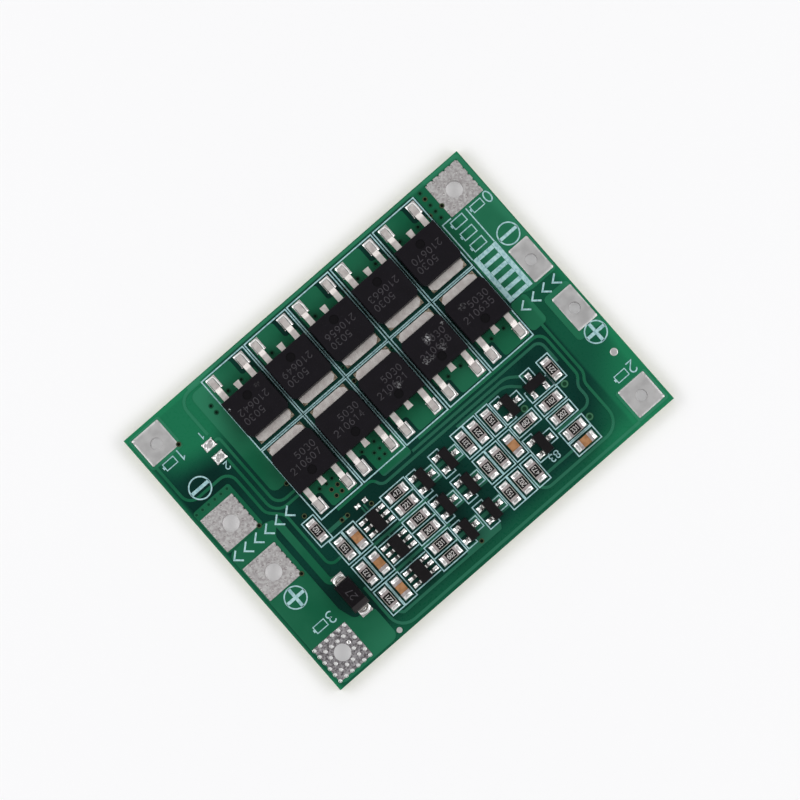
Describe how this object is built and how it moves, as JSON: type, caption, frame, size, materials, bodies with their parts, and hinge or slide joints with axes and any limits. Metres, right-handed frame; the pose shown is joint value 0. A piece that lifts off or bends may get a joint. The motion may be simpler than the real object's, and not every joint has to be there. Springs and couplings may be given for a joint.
{
  "type": "battery management board",
  "caption": "Flat green circuit board that guards a three-cell lithium pack: two rows of power transistors, small control parts and plated wire pads at both ends.",
  "frame": {"origin": "middle of the board's underside", "axes": "+X along the length from the discharge end to the charge end, +Y from the small parts to the power transistors, +Z out of the component side"},
  "size_m": [0.055, 0.041, 0.0039],
  "materials": {
    "solder_mask": "green solder mask on glass-epoxy laminate, satin gloss",
    "masked_copper": "green solder mask over copper foil, lighter than the bare laminate",
    "solder": "bright reflowed solder",
    "grey_tinned_pad": "hot-tinned copper, dull grey and slightly rough",
    "tinned_pad": "hot-tinned copper, pale and satin with shallow dimples",
    "power_moulding": "black epoxy moulding compound, fine matt grain",
    "leadframe": "matt tin plate on copper",
    "small_moulding": "black epoxy moulding compound, matt",
    "tinned_lead": "bright tin plate",
    "diode_moulding": "black epoxy moulding compound with a paler cathode band",
    "resistor_glaze": "black glaze on white alumina",
    "capacitor_ceramic": "tan barium titanate ceramic",
    "chip_terminal": "tin plate over nickel, matt",
    "marking_ink": "pale blue-white epoxy ink of the printed legend"
  },
  "bodies": {
    "root": {"printed_board": "solder_mask", "top_copper": "masked_copper", "component_lands": "solder", "battery_plus_pad": "grey_tinned_pad", "balance_pad_high": "tinned_pad", "balance_pad_low": "tinned_pad", "battery_minus_pad": "tinned_pad", "discharge_plus_pad": "tinned_pad", "discharge_minus_pad": "tinned_pad", "charge_plus_pad": "tinned_pad", "charge_minus_pad": "tinned_pad", "power_package_1": "power_moulding", "power_package_2": "power_moulding", "power_package_3": "power_moulding", "power_package_4": "power_moulding", "power_package_5": "power_moulding", "power_package_6": "power_moulding", "power_package_7": "power_moulding", "power_package_8": "power_moulding", "power_package_9": "power_moulding", "power_package_10": "power_moulding", "power_leadframe_1": "leadframe", "power_leadframe_2": "leadframe", "power_leadframe_3": "leadframe", "power_leadframe_4": "leadframe", "power_leadframe_5": "leadframe", "power_leadframe_6": "leadframe", "power_leadframe_7": "leadframe", "power_leadframe_8": "leadframe", "power_leadframe_9": "leadframe", "power_leadframe_10": "leadframe", "protection_chip_1": "small_moulding", "protection_chip_2": "small_moulding", "protection_chip_3": "small_moulding", "protection_leads_1": "tinned_lead", "protection_leads_2": "tinned_lead", "protection_leads_3": "tinned_lead", "transistor_1": "small_moulding", "transistor_2": "small_moulding", "transistor_3": "small_moulding", "transistor_4": "small_moulding", "transistor_5": "small_moulding", "transistor_6": "small_moulding", "transistor_7": "small_moulding", "transistor_8": "small_moulding", "transistor_9": "small_moulding", "transistor_leads_1": "tinned_lead", "transistor_leads_2": "tinned_lead", "transistor_leads_3": "tinned_lead", "transistor_leads_4": "tinned_lead", "transistor_leads_5": "tinned_lead", "transistor_leads_6": "tinned_lead", "transistor_leads_7": "tinned_lead", "transistor_leads_8": "tinned_lead", "transistor_leads_9": "tinned_lead", "diode_body": "diode_moulding", "diode_leads": "tinned_lead", "resistor_bodies": "resistor_glaze", "capacitor_bodies": "capacitor_ceramic", "chip_terminals": "chip_terminal"}
  },
  "joints": []
}
